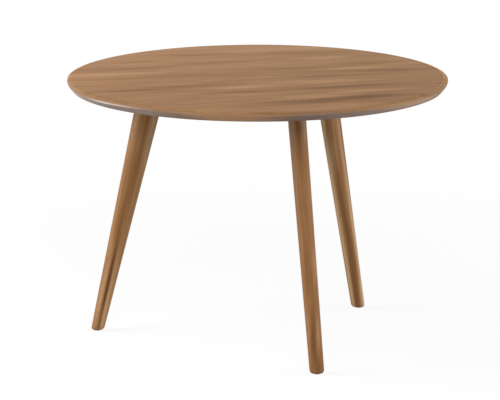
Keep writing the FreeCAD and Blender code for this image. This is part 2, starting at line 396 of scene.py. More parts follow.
print("edges are smooth up to", round(math.degrees(SMOOTH_ANGLE)), "degrees")

# %% Copy, cut and dress
def make_active(piece):
    """Select one piece and nothing else."""
    bpy.ops.object.select_all(action="DESELECT")
    piece.select_set(True)
    bpy.context.view_layer.objects.active = piece


def copy_of(piece):
    """A copy with its own mesh, left active."""
    make_active(piece)
    bpy.ops.object.duplicate()
    return bpy.context.object


def turned_copy(piece, name, angle):
    """A copy that is turned about the table's upright axis inside its mesh."""
    copy = copy_of(piece)
    copy.name = copy.data.name = name
    copy.rotation_euler.z = angle
    bpy.ops.object.transform_apply(rotation=True)
    return copy


def cut_away(piece, cutter):
    """Take one piece out of another with a Boolean modifier, and delete the cutter."""
    make_active(piece)
    cut = piece.modifiers.new("cut", "BOOLEAN")
    cut.operation = "DIFFERENCE"
    cut.solver = "EXACT"
    cut.object = cutter
    bpy.ops.object.modifier_apply(modifier=cut.name)
    bpy.data.objects.remove(cutter)


def dress(piece, slot, *cad_nodes):
    """Let a new piece ride on the table and stand for its CAD nodes."""
    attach(piece, "root")
    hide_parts(*cad_nodes)
    return piece


print("pieces can be copied, cut and dressed")

# %% [markdown]
# ## The pressed veneer
# The show veneer is a leaf 0.6 mm thick. It lies flat on the board and is pressed down over the sloped
# rim, like a very shallow lid, so the rim shows the same figure as the face. Its section is a flat
# outline with two corners rounded to quarter ellipses, one above and one below, and a spin through a
# full turn makes the lid.

# %% Spin the veneer
VENEER_THICKNESS = 0.0006
RIM_INSET, RIM_DROP = 0.010, 0.003
RIM_STEPS = 14
VENEER_STEPS = 216

top_radius = cad_high.x
table_height = cad_high.z
rim_tip = table_height - RIM_DROP
core_low, core_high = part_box("top_core")
leaf_radius = top_radius - VENEER_THICKNESS


def section(*points):
    """Corners of an upright section, given as radius and height."""
    return [Vector((radius, 0, height)) for radius, height in points]


def at_corner(corner):
    """A test for the vertex at a corner."""
    return lambda place: (place - corner).length < TINY


def spin_section(steps, angle):
    """Turn the flat section that is open about the table's axis and close the result."""
    bpy.ops.mesh.select_all(action="SELECT")
    bpy.ops.mesh.remove_doubles(threshold=TINY)
    bpy.ops.mesh.spin(steps=steps, angle=angle, center=(0, 0, 0), axis=(0, 0, -1))
    close_piece()


inner_corner = (leaf_radius, core_high.z)
outer_corner = (top_radius, table_height)
outline = section(
    (0, core_high.z), inner_corner, (leaf_radius, rim_tip),
    (top_radius, rim_tip), outer_corner, (0, table_height),
)
veneer = start_piece("pressed_veneer", bpy.ops.mesh.primitive_plane_add, size=top_radius)
draw_outline(veneer, outline)
leaf_inset, leaf_drop = RIM_INSET - VENEER_THICKNESS, RIM_DROP - VENEER_THICKNESS
inner_test, outer_test = [at_corner(corner) for corner in section(inner_corner, outer_corner)]
bevel_oval(veneer, inner_test, leaf_inset, leaf_drop, RIM_STEPS, "VERTICES")
bevel_oval(veneer, outer_test, RIM_INSET, RIM_DROP, RIM_STEPS, "VERTICES")
spin_section(VENEER_STEPS, 2 * math.pi)
dress(veneer, "face_veneer", "face_veneer")
print("veneer has", len(veneer.data.polygons), "faces, rim tip at", round(rim_tip, PRINT_DIGITS))

# %% [markdown]
# ## The lipping
# A veneered board shows its core at the edge, so the maker first glues on a lipping of solid wood, here
# six curved segments tongued into the core, and shapes it: a shallow slope under the veneer, a blunt
# nose, and a bevel below that makes the top look thinner than it is. A cabinet maker would run a router
# round it. Here the section has two bevelled corners, the slope and the eased arris under the nose, and
# spins through a sixth of a turn.

# %% Outline and spin of one segment
SEGMENT_COUNT = 6
SEGMENT_STEPS = 36
NOSE_HEIGHT, BEVEL_INSET = 0.0045, 0.008
ARRIS_RADIUS, ARRIS_STEPS = 0.008, 8
TONGUE_DEPTH, TONGUE_THICKNESS = 0.008, 0.006

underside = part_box("backing_veneer")[0].z
core_radius = core_high.x
tongue_middle = (core_low.z + core_high.z) / 2
tongue_radius = core_radius - TONGUE_DEPTH
tongue_low = tongue_middle - TONGUE_THICKNESS / 2
tongue_high = tongue_middle + TONGUE_THICKNESS / 2
arris = (top_radius, rim_tip - NOSE_HEIGHT)
outline = section(
    (core_radius, underside), (top_radius - BEVEL_INSET, underside), arris,
    (top_radius, rim_tip), (leaf_radius, rim_tip), inner_corner, (core_radius, core_high.z),
    (core_radius, tongue_high), (tongue_radius, tongue_high),
    (tongue_radius, tongue_low), (core_radius, tongue_low),
)
bevel_turn = math.atan2(BEVEL_INSET, rim_tip - NOSE_HEIGHT - underside)
arris_reach = ARRIS_RADIUS * math.tan(bevel_turn / 2)
segment_angle = 2 * math.pi / SEGMENT_COUNT
lipping = start_piece("lipping_pattern", bpy.ops.mesh.primitive_plane_add, size=top_radius)
draw_outline(lipping, outline)
bevel_oval(lipping, inner_test, leaf_inset, leaf_drop, RIM_STEPS, "VERTICES")
pick(lipping, at_corner(*section(arris)))
bpy.ops.mesh.bevel(offset=arris_reach, segments=ARRIS_STEPS, affect="VERTICES", clamp_overlap=False)
spin_section(SEGMENT_STEPS, segment_angle)
print("segment has", len(lipping.data.polygons), "faces")
print("its bevel leans by", round(math.degrees(bevel_turn)), "degrees")

# %% Six segments round the top
FIRST_JOINT = math.radians(-90)

segments = []
joint_angles = []
for index in range(SEGMENT_COUNT):
    joint_angles.append(FIRST_JOINT + index * segment_angle)
    segment = turned_copy(lipping, f"lipping_segment_{index + 1}", joint_angles[index])
    segments.append(dress(segment, "lipping_wood", f"edge_lipping_{index + 1}"))
bpy.data.objects.remove(lipping)
print(len(segments), "segments, radius", round(top_radius, PRINT_DIGITS))

# %% [markdown]
# ## The legs
# Each leg is a straight taper: a wide oval under the top, nearly round at the floor, leaning outwards.
# On a lathe it would come out round, so a real one is shaped between two templates. Here two rings of
# vertices are shaped to the templates and bridged, the floor edge is bevelled, and drills make the
# bores for the inserts and the glide.

# %% Shape an oval of four arcs
JOIN_TURN = math.radians(71.8)


def box_middle(node):
    """The middle of a CAD node's box."""
    low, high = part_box(node)
    return (low + high) / 2


leg_low, leg_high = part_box("leg_front")
root_radius = -box_middle("leg_plate_front").y
foot_radius = -box_middle("foot_glide_front").y
root_width = 2 * (root_radius + leg_high.y)
root_thickness = leg_high.x - leg_low.x


def at_level(z):
    """A test for the vertices at one height."""
    return lambda place: abs(place.z - z) < TINY


def shape_oval(piece, width, thickness, x, z):
    """Shape the new unit ring of a piece to an oval of four arcs, and put it in its place."""
    end_x, side_y = width / 2, thickness / 2
    cosine, sine = math.cos(JOIN_TURN), math.sin(JOIN_TURN)
    spread = cosine + sine - 1
    end_radius = (side_y * cosine - end_x * (1 - sine)) / spread
    side_radius = (end_x * sine - side_y * (1 - cosine)) / spread
    arcs = [
        (end_radius, Vector((end_x - end_radius, 0, 0)), lambda p: p.x >= cosine - TINY),
        (end_radius, Vector((end_radius - end_x, 0, 0)), lambda p: p.x <= TINY - cosine),
        (side_radius, Vector((0, side_y - side_radius, 0)), lambda p: p.y > 0),
        (side_radius, Vector((0, side_radius - side_y, 0)), lambda p: p.y < 0),
    ]
    for radius, shift, inside in arcs:
        pick(piece, lambda p: abs(p.length - 1) < TINY and inside(p))
        bpy.ops.transform.resize(value=(radius, radius, radius), center_override=(0, 0, 0))
        bpy.ops.transform.translate(value=shift)
    pick(piece, at_level(0))
    bpy.ops.transform.translate(value=(x, 0, z))


print("the root's oval is", rounded((root_width, root_thickness)), "at radius", rounded([root_radius]))

# %% Bridge two ovals to a leg
LEG_SIDES = 96
LEG_CUTS = 10
FOOT_WIDTH, FOOT_THICKNESS = 0.0226, 0.0253
FOOT_EASE = 0.0055
FOOT_EASE_STEPS = 8

leg = start_piece("leg", bpy.ops.mesh.primitive_circle_add, vertices=LEG_SIDES, radius=1.0)
shape_oval(leg, root_width, root_thickness, root_radius, leg_high.z)
bpy.ops.mesh.select_all(action="DESELECT")
bpy.ops.mesh.primitive_circle_add(vertices=LEG_SIDES, radius=1.0)
shape_oval(leg, FOOT_WIDTH, FOOT_THICKNESS, foot_radius, leg_low.z)
bpy.ops.mesh.select_all(action="SELECT")
bpy.ops.mesh.bridge_edge_loops(number_cuts=LEG_CUTS, interpolation="LINEAR")
for level in (leg_high.z, leg_low.z):
    pick(leg, at_level(level))
    bpy.ops.mesh.edge_face_add()
pick(leg, at_level(leg_low.z))
bpy.ops.mesh.bevel(offset=FOOT_EASE, segments=FOOT_EASE_STEPS, affect="EDGES")
close_piece()
print("leg has", len(leg.data.polygons), "faces")

# %% Drill the bores
INSERT_HOLE_RADIUS = 0.00505
INSERT_HOLE_SPARE = 0.0015
GLIDE_CLEARANCE = 0.0001
STEM_HOLE_RADIUS = 0.0026
STEM_LENGTH = 0.012
GLIDE_HEAD = 0.003
DRILL_OVERRUN = 0.002
DRILL_SIDES = 40


def drill(piece, radius, distance, low, high):
    """Bore an upright hole at a distance along X."""
    bpy.ops.object.select_all(action="DESELECT")
    bpy.ops.mesh.primitive_cylinder_add(
        vertices=DRILL_SIDES, radius=radius, depth=high - low, location=(distance, 0, (low + high) / 2),
    )
    cut_away(piece, bpy.context.object)


insert_low, insert_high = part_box("leg_inserts_front")
insert_radius = (insert_high.x - insert_low.x) / 2
glide_low, glide_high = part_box("foot_glide_front")
glide_radius = (glide_high.x - glide_low.x) / 2
stem_end = GLIDE_HEAD + STEM_LENGTH + GLIDE_CLEARANCE
insert_hole_end = insert_low.z - INSERT_HOLE_SPARE
for distance in (-insert_high.y + insert_radius, -insert_low.y - insert_radius):
    drill(leg, INSERT_HOLE_RADIUS, distance, insert_hole_end, leg_high.z + DRILL_OVERRUN)
drill(leg, glide_radius + GLIDE_CLEARANCE, foot_radius, leg_low.z - DRILL_OVERRUN, GLIDE_HEAD)
drill(leg, STEM_HOLE_RADIUS, foot_radius, GLIDE_HEAD - GLIDE_CLEARANCE, stem_end)
make_active(leg)
smooth_active()
print("drilled leg has", len(leg.data.polygons), "faces")

# %% Three legs
leg_angles = {}
legs = {}
for side in ("front", "right", "left"):
    foot_place = box_middle(f"foot_glide_{side}")
    leg_angles[side] = math.atan2(foot_place.y, foot_place.x)
    shaped_leg = turned_copy(leg, f"shaped_leg_{side}", leg_angles[side])
    legs[side] = dress(shaped_leg, "leg_wood", f"leg_{side}")
bpy.data.objects.remove(leg)
print("legs at", {side: round(math.degrees(angle)) for side, angle in leg_angles.items()})

# %% [markdown]
# ## The screws under the plates
# Four button-head screws hold each plate to the top. Only their domed heads and hexagon sockets show,
# and only from below, but light catches the domes. One screw is turned from a cylinder: its lower rim
# is bevelled to a dome, its upper face is inset and drawn out into the shank, and a six-sided cutter
# sinks the socket.

# %% Turn one screw
HEAD_RADIUS = 0.00525
HEAD_HEIGHT = 0.0033
HEAD_RIM = 0.0008
HEAD_SIDES = 48
DOME_STEPS = 10
SHANK_RADIUS = 0.003
SOCKET_FLATS = 0.004
SOCKET_DEPTH = 0.002
HEXAGON_SIDES = 6

screws_low, screws_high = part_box("plate_screws_front")
shank_length = screws_high.z - screws_low.z - HEAD_HEIGHT
screw = start_piece(
    "screw", bpy.ops.mesh.primitive_cylinder_add, vertices=HEAD_SIDES, radius=HEAD_RADIUS,
    depth=HEAD_HEIGHT, location=(0, 0, screws_low.z + HEAD_HEIGHT / 2),
)
dome_run = HEAD_RADIUS - SOCKET_FLATS / 2
dome_rise = HEAD_HEIGHT - HEAD_RIM
bevel_oval(screw, at_level(screws_low.z), dome_run, dome_rise, DOME_STEPS, "EDGES")
pick(screw, at_level(screws_low.z + HEAD_HEIGHT))
bpy.ops.mesh.inset(thickness=HEAD_RADIUS - SHANK_RADIUS)
bpy.ops.mesh.extrude_region_move(TRANSFORM_OT_translate={"value": (0, 0, shank_length)})
close_piece()
bpy.ops.object.select_all(action="DESELECT")
socket_radius = SOCKET_FLATS / 2 / math.cos(math.pi / HEXAGON_SIDES)
bpy.ops.mesh.primitive_cylinder_add(
    vertices=HEXAGON_SIDES, radius=socket_radius, depth=2 * SOCKET_DEPTH, location=(0, 0, screws_low.z),
)
cut_away(screw, bpy.context.object)
smooth_active()
print("screw has", len(screw.data.polygons), "faces")

# %% Set twelve screws
pitch_along = screws_high.y - screws_low.y - 2 * HEAD_RADIUS
pitch_across = screws_high.x - screws_low.x - 2 * HEAD_RADIUS


def screw_set(side):
    """Four copies of the screw round one leg's root, joined into a single piece."""
    copies = []
    for along in (-1, 1):
        for across in (-1, 1):
            copy = copy_of(screw)
            place = Vector((root_radius + along * pitch_along / 2, across * pitch_across / 2, 0))
            copy.location = turned(place, leg_angles[side])
            copies.append(copy)
    for copy in copies:
        copy.select_set(True)
    bpy.ops.object.transform_apply(location=True)
    bpy.ops.object.join()
    joined = bpy.context.object
    joined.name = joined.data.name = f"button_screws_{side}"
    return joined


screw_sets = {side: dress(screw_set(side), "screw_steel", f"plate_screws_{side}") for side in legs}
bpy.data.objects.remove(screw)
print("screws", {side: len(piece.data.polygons) for side, piece in screw_sets.items()}, "faces")

# %% [markdown]
# ## What wood looks like, layer by layer
# Brown wood under satin lacquer is read at four scales. Broad drifts of tone run over the whole board.
# Streaks a finger wide and a hand or two long make the figure. Fibres draw fine lines, and open pores
# are short dark dashes that also dull the lacquer. Every layer is noise stretched along the grain. A
# Mapping node first turns Object coordinates into the board's own directions: along the grain, across
# it and out of its face.

# %% Noise along the grain
UP = Vector((0, 0, 1))
NOISE_MIDDLE = 0.5
SMOOTH_DETAIL, PLAIN_DETAIL, FIGURE_DETAIL, FINE_DETAIL = 1.0, 2.0, 2.5, 3.0


def heading(angle):
    """A level direction, at an angle round the table from +X."""
    return Vector((math.cos(angle), math.sin(angle), 0))


def grain_space(tree, origin, grain, face):
    """Object coordinates turned so that X runs along the grain and Z out of the board's face."""
    along = grain.normalized()
    out = (face - along * face.dot(along)).normalized()
    across = out.cross(along)
    turn = Matrix((along, across, out))
    inputs = {"Vector": object_place(tree), "Location": -(turn @ origin), "Rotation": turn.to_euler()}
    return tree.add("Mapping", {"vector_type": "POINT"}, inputs)


def noise(space, reach, detail=PLAIN_DETAIL):
    """Noise around zero whose blobs reach about so far along X, Y and Z."""
    inputs = {"Vector": space.vector("DIVIDE", reach), "Scale": 1.0, "Detail": detail}
    return space.add("TexNoise", {}, inputs) - NOISE_MIDDLE


def stretched_noise(space, length, width, detail=PLAIN_DETAIL):
    """Noise whose blobs are about so long along the grain and so wide across it."""
    return noise(space, (length, width, width), detail)


def shifted(space, axis, shift):
    """The same space, moved along one axis by a value that changes from place to place."""
    parts = space.add("SeparateXYZ", {}, {0: space})
    inputs = {name: parts.beside(name) for name in "XYZ"}
    inputs[axis] = inputs[axis] + shift
    return space.add("CombineXYZ", {}, inputs)


def wandering(space, length, width, sway):
    """The same space with the grain swaying gently from side to side."""
    return shifted(space, "Y", stretched_noise(space, length, width, SMOOTH_DETAIL) * sway)


print("noise has a detail of", SMOOTH_DETAIL, "to", FINE_DETAIL)

# %% Soft steps and soft spots
# A reach past the whole table, for a direction in which a spot has no end
FAR = 1.0

top_middle = UP * table_height


def soft_step(value, low, high):
    """0 below low, 1 above high, with a soft passage between."""
    settings = {"interpolation_type": "SMOOTHSTEP"}
    return value.add("MapRange", settings, {"Value": value, "From Min": low, "From Max": high})


def soft_spot(space, middle, reach):
    """1 at a point of a space, fading to 0 a reach away along each direction."""
    share = space.vector("SUBTRACT", middle).vector("DIVIDE", reach)
    square = share.vector("DOT_PRODUCT", share)
    return square.math("EXPONENT", -1 * square)


def sum_of_spots(space, spots):
    """Soft spots added up, each given as its middle, its reach and its strength."""
    first, *others = [soft_spot(space, middle, reach) * strength for middle, reach, strength in spots]
    return sum(others, start=first)


def edge_spots(tree, spots):
    """The same along the top's edge: the middles are given from the middle of the upper face."""
    return sum_of_spots(object_place(tree).vector("SUBTRACT", top_middle), spots)


print("spots on the top are placed from", rounded(top_middle))

# %% [markdown]
# ## The lacquered wood itself
# All the wood on the table has the same layers, with its own colours and scale. The lacquer is satin:
# rough enough to blur reflections, with the pores left a little open, so they are duller and a hair
# lower than the rest. A single noise would do for the tone, but separate layers let the figure be
# strong while the pores stay fine.

# %% How a finish ends
BUMP_STRENGTH = 0.5


def finish_surface(tree, height, depth, inputs):
    """End a shader tree in a surface with these inputs, bumped by a height of so much depth."""
    bump = tree.add("Bump", {}, {"Strength": BUMP_STRENGTH, "Distance": depth, "Height": height})
    surface = tree.add("BsdfPrincipled", {}, {**inputs, "Normal": bump})
    tree.add("OutputMaterial", {}, {"Surface": surface})


def paint_with(finish, *pieces):
    """Give pieces or CAD nodes one finish all over."""
    for piece in pieces:
        piece.data.materials.clear()
        piece.data.materials.append(finish)


print("bumps have a strength of", BUMP_STRENGTH)

# %% A wood finish
PORE_LENGTH, PORE_WIDTH = 0.007, 0.0005
PORE_START, PORE_FULL = 0.10, 0.20
PORE_SHADE, PORE_ROUGHNESS = 0.10, 0.16
FIBRE_LENGTH, FIBRE_WIDTH = 0.11, 0.0017
FIBRE_SHADE, FIBRE_ROUGHNESS, FIBRE_HEIGHT = 0.30, 0.10, 0.25
BROAD_LENGTH, BROAD_WIDTH, BROAD_SHARE = 4.0, 6.0, 0.5
SWAY_LENGTH, SWAY_WIDTH, SWAY_REACH = 2.2, 9.0, 0.9
WOOD_DEPTH = 0.00012
MIDDLE_TONE = 0.5
TONE_STOPS = (0.10, MIDDLE_TONE, 0.90)
SHEEN_ROUGHNESS = 0.3


def wood_finish(
    name, board, colours, figure, roughness, gloss, marks=None, seams=None, sheen=None, worn=None,
):
    """A lacquered wood. A board is its origin, its grain and its face, colours run from dark to light,
    and a figure is its length, its width and its strength."""
    finish, tree = new_finish(name)
    length, width, strength = figure
    sway = (length * SWAY_LENGTH, width * SWAY_WIDTH, width * SWAY_REACH)
    space = wandering(grain_space(tree, *board), *sway)
    figure_tone = stretched_noise(space, length, width, FIGURE_DETAIL)
    broad_tone = stretched_noise(space, length * BROAD_LENGTH, width * BROAD_WIDTH, SMOOTH_DETAIL)
    fibre_tone = stretched_noise(space, FIBRE_LENGTH, FIBRE_WIDTH, FINE_DETAIL)
    pore_noise = stretched_noise(space, PORE_LENGTH, PORE_WIDTH, SMOOTH_DETAIL)
    pores = soft_step(pore_noise, PORE_START, PORE_FULL)
    tone = MIDDLE_TONE + figure_tone * strength + broad_tone * (strength * BROAD_SHARE)
    tone = tone + fibre_tone * FIBRE_SHADE
    if marks:
        tone = tone + marks(space)
    tone = tone - pores * PORE_SHADE
    height = fibre_tone * FIBRE_HEIGHT - pores
    if seams:
        seam = seams(tree)
        tone = tone * (1 - seam)
        height = height - seam
    colour = tone.add("ValToRGB", {"stops": list(zip(TONE_STOPS, colours))}, {0: tone})
    if worn:
        colour = worn(tree, colour)
    inputs = {
        "Base Color": colour, "Specular IOR Level": gloss,
        "Roughness": roughness + pores * PORE_ROUGHNESS + fibre_tone * FIBRE_ROUGHNESS,
    }
    if sheen:
        inputs |= {"Coat Weight": sheen(tree), "Coat Roughness": SHEEN_ROUGHNESS}
    finish_surface(tree, height, WOOD_DEPTH, inputs)
    return finish


print("pores", PORE_WIDTH, "m wide, fibres", FIBRE_WIDTH, "m wide")

# %% [markdown]
# ## The face veneer
# A veneer is a leaf of wood thinner than a millimetre, cut to show its figure: here dark heart streaks
# and pale sap streaks, a hand or two long. Noise alone gives their kind but not their place, so the few
# that catch the eye are laid one by one, as soft spots much longer than wide, and noise fills in between
# them. Broad patches of painted light make the back of the face paler and its front darker. At one end
# the rim is painted paler inside a dark line, painted light where the right lamp falls on the slope, and
# at the other it is a little darker than the face: painted shade, to tone down the left lamp there.

# %% The veneer's main streaks and painted light
# Along the grain, across it, half length, half width, strength: below zero is dark
VENEER_STREAKS_AND_LIGHT = (
    (-0.191, 0.041, 0.090, 0.0100, -0.20),
    (-0.174, 0.188, 0.049, 0.0093, -0.20),
    (-0.203, 0.128, 0.116, 0.0215, -0.20),
    (-0.022, 0.151, 0.054, 0.0100, -0.20),
    (0.114, 0.213, 0.116, 0.0179, -0.20),
    (0.242, 0.083, 0.057, 0.0125, -0.20),
    (0.226, 0.007, 0.057, 0.0114, -0.20),
    (0.084, 0.067, 0.071, 0.0107, -0.20),
    (0.121, -0.024, 0.103, 0.0129, -0.20),
    (-0.121, -0.055, 0.071, 0.0129, -0.20),
    (-0.246, -0.074, 0.090, 0.0143, -0.20),
    (0.075, -0.127, 0.057, 0.0107, -0.20),
    (0.177, -0.123, 0.068, 0.0107, -0.20),
    (-0.054, -0.135, 0.057, 0.0100, -0.20),
    (0.139, -0.222, 0.076, 0.0143, -0.29),
    (0.040, -0.241, 0.107, 0.0179, -0.20),
    (-0.057, 0.229, 0.062, 0.0107, -0.20),
    (-0.234, 0.082, 0.099, 0.0143, 0.20),
    (-0.065, 0.114, 0.071, 0.0107, 0.20),
    (0.090, -0.071, 0.076, 0.0129, 0.20),
    (-0.050, -0.091, 0.057, 0.0143, 0.20),
    (0.158, 0.151, 0.049, 0.0107, 0.20),
    (0.042, -0.205, 0.062, 0.0129, 0.20),
    (0.131, 0.255, 0.090, 0.0179, 0.20),
    (0.145, -0.170, 0.054, 0.0107, 0.20),
    (0.191, 0.039, 0.054, 0.0107, 0.20),
    # From here on the rows are mostly painted light: the back and the right end paler, the front darker
    (-0.080, 0.250, 0.260, 0.0900, 0.09),
    (0.000, 0.290, 0.400, 0.0700, 0.08),
    (-0.050, 0.170, 0.350, 0.0600, 0.06),
    (-0.260, 0.110, 0.110, 0.0800, 0.08),
    (0.120, -0.160, 0.180, 0.0900, -0.05),
    (0.215, 0.220, 0.075, 0.0250, 0.18),
    (0.290, 0.110, 0.080, 0.0500, 0.10),
    (0.300, 0.055, 0.050, 0.0220, 0.12),
    (0.157, 0.100, 0.080, 0.0200, 0.07),
    (-0.015, 0.072, 0.120, 0.0250, 0.04),
    (0.190, -0.180, 0.100, 0.0300, -0.05),
    (0.010, -0.258, 0.200, 0.0300, -0.11),
)
FRAY_LENGTH, FRAY_WIDTH, FRAY_REACH = 0.30, 0.005, 0.16


def frayed(board):
    """The same space with the fibres slid along the grain by turns, so that a streak's ends fray."""
    return shifted(board, "X", stretched_noise(board, FRAY_LENGTH, FRAY_WIDTH) * FRAY_REACH)


def streaks_and_painted_light(board):
    """The veneer's main streaks and broad patches of painted light, added up."""
    spots = []
    for along, across, half_length, half_width, strength in VENEER_STREAKS_AND_LIGHT:
        spots.append(((along, across, 0), (half_length, half_width, FAR), strength))
    return sum_of_spots(frayed(board), spots)


print(len(VENEER_STREAKS_AND_LIGHT), "streaks are laid by hand")

# %% Wood for the veneer
TOP_COLOURS = (srgb(112, 77, 47), srgb(158, 118, 82), srgb(194, 152, 112))
TOP_FIGURE = (0.13, 0.014, 0.5)
TOP_ROUGHNESS, TOP_GLOSS = 0.60, 0.10
VENEER_TURN = math.radians(-6.5)
RIM_FADE, RIM_LINE = 0.003, 0.7
# Painted light: the rim paler at the right end, where the right lamp falls on the slope
RIM_PAINTED_LIGHT = ((0.325, 0.010, 0), (0.17, 0.17, FAR), 0.30)
# Painted shade: the rim darker at the left front, against the left lamp's light on the slope
RIM_PAINTED_SHADE = ((-0.307, -0.106, 0), (0.12, 0.12, FAR), -0.07)


def from_axis(place):
    """How far a place lies from the table's upright axis."""
    return place.vector("MULTIPLY", (1, 1, 0)).vector("LENGTH")


def veneer_tone_and_painted_light(board):
    """The streaks and the rim: painted light inside a dark line at one end, painted shade at the other."""
    radius, shoulder = from_axis(object_place(board)), top_radius - RIM_INSET
    slope = soft_step(radius, shoulder, shoulder + RIM_FADE)
    lined = slope * (1 + RIM_LINE) - soft_step(radius, shoulder - RIM_FADE, shoulder) * RIM_LINE
    rim = lined * edge_spots(board, [RIM_PAINTED_LIGHT]) + slope * edge_spots(board, [RIM_PAINTED_SHADE])
    return streaks_and_painted_light(board) + rim


veneer_grain = heading(VENEER_TURN)
face_finish = wood_finish(
    "face_veneer_wood", (top_middle, veneer_grain, UP),
    TOP_COLOURS, TOP_FIGURE, TOP_ROUGHNESS, TOP_GLOSS, marks=veneer_tone_and_painted_light,
)
paint_with(face_finish, veneer)
print(len(face_finish.node_tree.nodes), "nodes in the face veneer")

# %% [markdown]
# ## The lipping's wood
# Each segment is sawn from its own board, so its grain runs along its chord and the figure breaks at
# every joint. Where the segments meet, and at the rim's tip where the veneer ends, a hair of glue shows
# as a fine dark line. The nose is dull and painted as pale as the face, and the bevel below is darker and
# keeps its shine: painted light and shade, for a nose that the lamps catch and a bevel that faces down.
# Two stretches of the bevel are painted paler as well. The arris and the bevel carry painted highlights
# and reflections in places, and painted shade greys the nose near the legs.

# %% Glue lines
SEAM_WIDTH, SEAM_SHADE = 0.0005, 0.45


def height_of(place):
    """How high a place lies."""
    return place.add("SeparateXYZ", {}, {0: place}, output="Z")


def segment_seams(tree, middle_angle):
    """The glue lines at a segment's two ends and along the veneer."""
    place = object_place(tree)
    nearest = rim_tip - height_of(place)
    for side in (-1, 1):
        end = middle_angle + side * segment_angle / 2
        inward = (side * math.sin(end), -side * math.cos(end), 0)
        nearest = nearest.math("MINIMUM", nearest, place.vector("DOT_PRODUCT", inward))
    return SEAM_SHADE - soft_step(nearest, 0.0, SEAM_WIDTH) * SEAM_SHADE


print("glue lines", SEAM_WIDTH, "m wide")

# %% Painted light on the nose
# Painted light: the nose as pale as the face, fading towards the ends, which the side lamps light already
NOSE_LOW, NOSE_HIGH, NOSE_LIGHT_STRENGTH = -0.0095, -0.0070, 0.36
NOSE_LIGHT_PLACE, NOSE_LIGHT_NEAR, NOSE_LIGHT_FAR, NOSE_LIGHT_LOSS = (-0.114, -0.304, rim_tip), 0.20, 0.36, 0.5
# Stretches of the bevel painted paler too, as painted light: middle, reach and strength
BEVEL_LIGHT_SPOTS = (
    ((0.215, -0.245, -0.0105), (0.130, 0.130, 0.0040), 0.30),
    ((-0.160, -0.283, -0.0105), (0.075, 0.075, 0.0040), 0.25),
)
# One segment has a pale stretch of sapwood, placed along its grain
PALE_SEGMENT = 6
PALE_SPOT = ((0.008, 0, 0), (0.055, FAR, FAR), 0.22)


def on_nose(tree):
    """1 on the nose, 0 on the bevel below it."""
    height = height_of(object_place(tree))
    return soft_step(height, table_height + NOSE_LOW, table_height + NOSE_HIGH)


def painted_nose_light(board):
    """Painted light: the nose as pale as the face, most in front, and two paler stretches of the bevel."""
    apart = object_place(board).vector("DISTANCE", NOSE_LIGHT_PLACE)
    in_front = 1 - soft_step(apart, NOSE_LIGHT_NEAR, NOSE_LIGHT_FAR) * NOSE_LIGHT_LOSS
    return on_nose(board) * in_front * NOSE_LIGHT_STRENGTH + edge_spots(board, BEVEL_LIGHT_SPOTS)


def sapwood_and_nose_light(board):
    """The same painted light, with the sapwood."""
    return sum_of_spots(board, [PALE_SPOT]) + painted_nose_light(board)


print("the nose is rubbed above a height of", NOSE_LOW, "m from the face")

# %% Painted highlights and shade on the edge
HIGHLIGHT_COLOUR, SHADE_GREY = srgb(238, 226, 216), srgb(106, 105, 112)
# Painted highlights on the arris and painted reflections on the bevel: middle, reach and how pale each is
PAINTED_HIGHLIGHT_SPOTS = (
    ((-0.314, -0.084, -0.0080), (0.036, 0.036, 0.0011), 0.85),
    ((-0.298, -0.130, -0.0067), (0.045, 0.045, 0.0011), 0.60),
    ((0.170, -0.277, -0.0098), (0.110, 0.110, 0.0022), 0.08),
    ((-0.324, 0.015, -0.0105), (0.045, 0.045, 0.0030), 0.16),
    ((-0.262, -0.192, -0.0110), (0.085, 0.085, 0.0050), 0.10),
    ((0.056, -0.320, -0.0125), (0.050, 0.050, 0.0050), 0.07),
    ((-0.084, -0.314, -0.0135), (0.040, 0.040, 0.0040), 0.06),
)
# Painted shade, a cool grey on the nose near the legs: middle, reach and strength
NOSE_SHADE_SPOTS = (
    ((-0.026, -0.324, -0.0080), (0.042, 0.042, 0.0045), 0.42),
    ((0.030, -0.324, -0.0075), (0.035, 0.035, 0.0040), 0.10),
    ((-0.262, -0.192, -0.0065), (0.055, 0.055, 0.0035), 0.24),
)


def painted_highlights_and_shade(tree, colour):
    """The wood's colour with painted highlights and reflections, and painted shade near the legs."""
    colour = mix_colours(edge_spots(tree, PAINTED_HIGHLIGHT_SPOTS), colour, HIGHLIGHT_COLOUR)
    return mix_colours(edge_spots(tree, NOSE_SHADE_SPOTS), colour, SHADE_GREY)


print(len(PAINTED_HIGHLIGHT_SPOTS), "worn places,", len(NOSE_SHADE_SPOTS), "grey ones")

# %% A shiny bevel
SHEEN_WEIGHT, SHEEN_REACH = 0.42, (0.10, 0.10, FAR)
# Places where the bevel shines more or less: middle, reach and the change
SHEEN_SPOTS = (
    ((-0.267, -0.185, -RIM_DROP), SHEEN_REACH, 0.25),
    ((0.056, -0.320, -RIM_DROP), SHEEN_REACH, 0.15),
    ((0.270, -0.180, -RIM_DROP), SHEEN_REACH, -0.42),
    ((-0.162, -0.282, -RIM_DROP), SHEEN_REACH, -0.25),
)


def bevel_sheen(tree):
    """How much the bevel shines: not at all on the nose, and by more or less along the edge."""
    return (SHEEN_WEIGHT + edge_spots(tree, SHEEN_SPOTS)) * (1 - on_nose(tree))


print("the bevel's sheen is", SHEEN_WEIGHT, "with changes in", len(SHEEN_SPOTS), "places")

# %% Wood for six segments
# Darker than the face, partly as painted shade for the bevel, which faces down
LIPPING_COLOURS = (srgb(84, 64, 50), srgb(116, 90, 70), srgb(170, 130, 94))
LIPPING_FIGURE = (0.16, 0.012, 0.5)
LIPPING_ROUGHNESS, LIPPING_GLOSS = 0.50, 0.12

